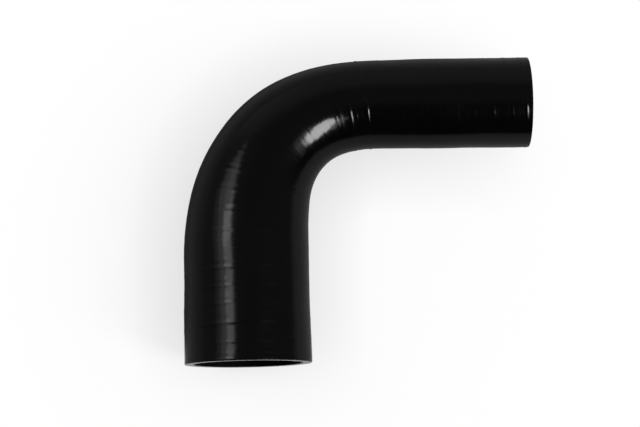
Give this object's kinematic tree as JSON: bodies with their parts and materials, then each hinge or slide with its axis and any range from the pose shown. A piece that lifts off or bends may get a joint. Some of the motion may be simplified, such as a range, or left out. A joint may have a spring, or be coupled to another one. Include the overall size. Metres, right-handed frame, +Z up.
{
  "type": "silicone elbow hose",
  "caption": "Moulded right-angle silicone hose that steps down from a wide bore to a narrower one, with square-cut ends.",
  "frame": {"origin": "on the table, under the middle of the hose's box as it lies at rest", "axes": "+X along the small leg toward its open end, -Y along the large leg toward its open end, +Z up from the table; at rest the large end is tipped up 4.6 degrees and the small end down 1.3 degrees"},
  "size_m": [0.1846, 0.1618, 0.0712],
  "materials": {
    "silicone": "black, moulded half gloss"
  },
  "bodies": {
    "root": {"elbow_hose": "silicone"}
  },
  "joints": []
}
